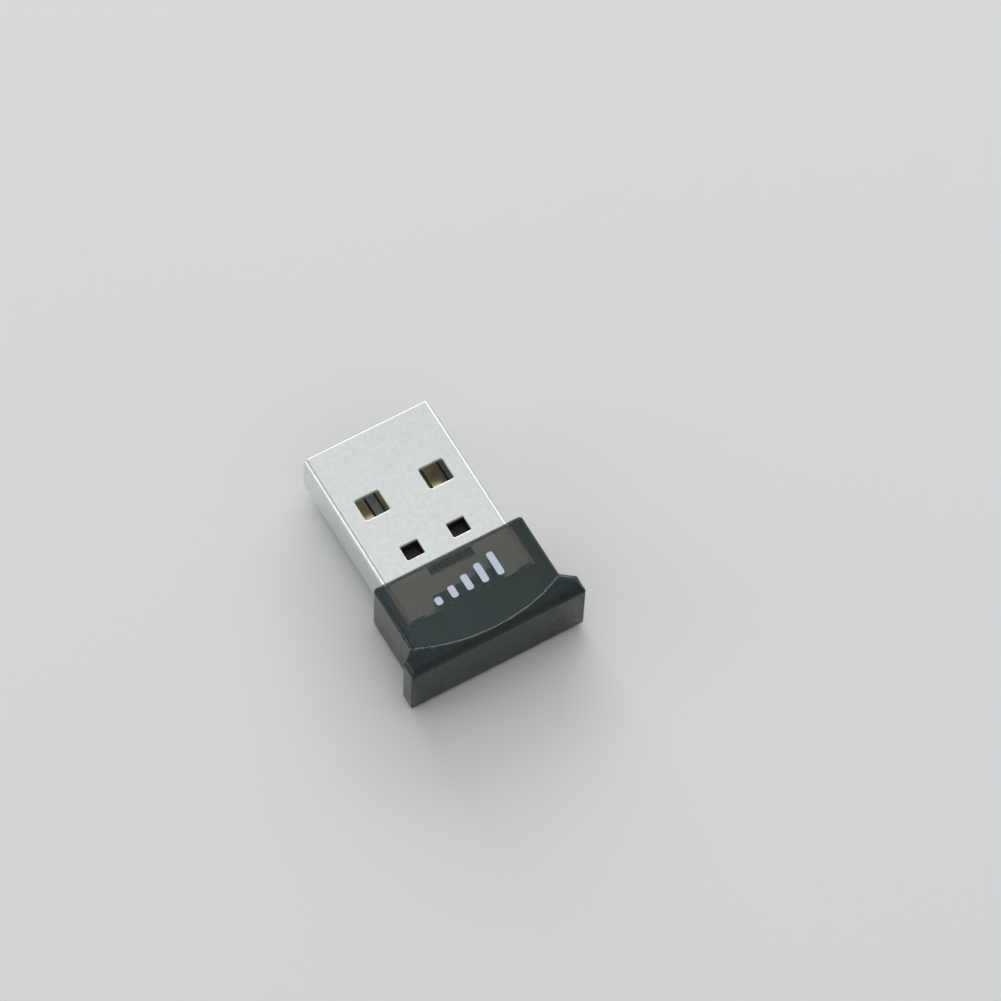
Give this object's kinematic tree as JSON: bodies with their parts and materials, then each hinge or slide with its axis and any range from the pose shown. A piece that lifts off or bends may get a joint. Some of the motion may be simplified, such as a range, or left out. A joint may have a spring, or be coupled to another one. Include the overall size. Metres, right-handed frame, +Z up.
{
  "type": "usb bluetooth adapter",
  "caption": "Short stub adapter: a flat folded-metal plug with windows runs into a clear smoke-grey cap whose rear grip flares into side ears behind a curved step.",
  "frame": {"origin": "bottom centre of the whole part's box, level with the grip's lowest face", "axes": "+Y points out of the plug's mouth, +X runs across the plug, +Z is up through the face with the small windows"},
  "size_m": [0.0164, 0.0222, 0.0065],
  "materials": {
    "nickel_sheet": "bright nickel plate on folded steel sheet",
    "smoke_plastic": "clear smoke-grey, glossy body and finely grained grip",
    "carrier_plastic": "satin dark grey moulding",
    "gold_plate": "gold plate over nickel",
    "board_laminate": "woven glass laminate under green resist",
    "land_plate": "gold-flashed copper",
    "resist_copper": "copper line under green resist",
    "chip_resin": "dull black moulding resin",
    "tinned_metal": "tinned lead frame",
    "crystal_ceramic": "fired ceramic",
    "lid_metal": "satin nickel lid",
    "lamp_base_plastic": "white laminate",
    "lamp_lens": "clear resin",
    "choke_core": "dark ferrite",
    "capacitor_ceramic": "tan ceramic",
    "resistor_glaze": "black glaze",
    "solder": "bright solder"
  },
  "bodies": {
    "root": {"plug_shell": "nickel_sheet", "contact_carrier": "carrier_plastic", "supply_contact": "gold_plate", "data_minus_contact": "gold_plate", "data_plus_contact": "gold_plate", "ground_contact": "gold_plate", "cap": "smoke_plastic", "circuit_board": "board_laminate", "contact_lands": "land_plate", "antenna_line": "resist_copper", "radio_chip": "chip_resin", "radio_lands": "tinned_metal", "crystal_base": "crystal_ceramic", "crystal_lid": "lid_metal", "memory_chip": "chip_resin", "memory_legs": "tinned_metal", "regulator_chip": "chip_resin", "regulator_legs": "tinned_metal", "lamp_base": "lamp_base_plastic", "lamp_top": "lamp_lens", "choke_body": "choke_core", "choke_ends": "tinned_metal", "capacitor_bodies": "capacitor_ceramic", "capacitor_ends": "tinned_metal", "resistor_bodies": "resistor_glaze", "resistor_ends": "tinned_metal", "tail_solder": "solder", "shell_solder": "solder"}
  },
  "joints": []
}
